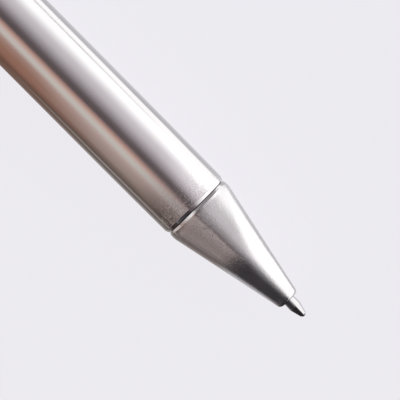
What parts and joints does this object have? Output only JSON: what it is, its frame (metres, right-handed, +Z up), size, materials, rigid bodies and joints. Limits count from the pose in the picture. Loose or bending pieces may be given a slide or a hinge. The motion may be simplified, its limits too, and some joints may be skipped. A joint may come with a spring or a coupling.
{
  "type": "ballpoint pen",
  "caption": "Retractable metal ballpoint pen with a tapered screw-on nose, plain tube barrel, pocket clip and a push button that clicks the refill in and out.",
  "frame": {"origin": "on the pen axis, at the barrel's front face", "axes": "+X along the pen axis towards the writing tip, +Z up with the pen lying on its barrel and its clip's edge"},
  "size_m": [0.1433, 0.0149, 0.013],
  "materials": {
    "silver_barrel": "bright satin",
    "satin_chrome_nose": "satin",
    "polished_chrome": "polished",
    "spring_steel": "drawn",
    "nickel_silver": "turned",
    "hard_ball": "polished",
    "turned_brass": "turned",
    "steel_tube": "drawn",
    "white_plastic": "moulded",
    "black_plastic": "moulded",
    "blue_ink": "paste"
  },
  "bodies": {
    "body": {"barrel": "silver_barrel", "thread_bush": "turned_brass", "coupling_sleeve": "turned_brass", "trim_ring": "polished_chrome", "head": "silver_barrel", "guide_sleeve": "white_plastic", "end_collar": "polished_chrome"},
    "clip": {"pocket_clip": "polished_chrome"},
    "washer": {"joint_washer": "black_plastic", "return_spring": "spring_steel"},
    "nose": {"nose_cone": "satin_chrome_nose"},
    "refill": {"writing_tip": "nickel_silver", "tip_holder": "white_plastic", "refill_tube": "steel_tube", "ink_column": "blue_ink", "refill_tail": "white_plastic"},
    "ball": {"writing_ball": "hard_ball"},
    "rotor": {"rotor": "black_plastic"},
    "button": {"push_button": "polished_chrome", "plunger": "white_plastic"}
  },
  "joints": [
    {"name": "button_press", "type": "slide", "parent": "body", "child": "button", "axis": [1, 0, 0], "range_m": [-0.0052, 0]},
    {"name": "refill_slide", "type": "slide", "parent": "body", "child": "refill", "axis": [1, 0, 0], "range_m": [-0.0052, 0], "deforming": ["return_spring"]},
    {"name": "rotor_index", "type": "hinge", "parent": "refill", "child": "rotor", "pos_m": [-0.0785, 0, 0], "axis": [1, 0, 0], "range_deg": [0, 90]},
    {"name": "ball_roll", "type": "hinge", "parent": "refill", "child": "ball", "pos_m": [0.025, 0, 0], "axis": [0, 1, 0], "continuous": true},
    {"name": "clip_flex", "type": "hinge", "parent": "body", "child": "clip", "pos_m": [-0.1045, -0.00509, -0.00327], "axis": [0, 0.5406, -0.8413], "range_deg": [0, 3.5], "stiffness_Nm_per_rad": 1.2, "springref_deg": -1.15},
    {"name": "nose_advance", "type": "slide", "parent": "body", "child": "washer", "axis": [1, 0, 0], "range_m": [0, 0.00451]},
    {"name": "nose_turn", "type": "hinge", "parent": "washer", "child": "nose", "pos_m": [0, 0, 0], "axis": [1, 0, 0], "range_deg": [0, 2160]}
  ],
  "couplings": [
    {"joint": "refill_slide", "follows": "button_press", "ratio": 1},
    {"joint": "nose_advance", "follows": "nose_turn", "m_per_rad": 0.00011937}
  ]
}
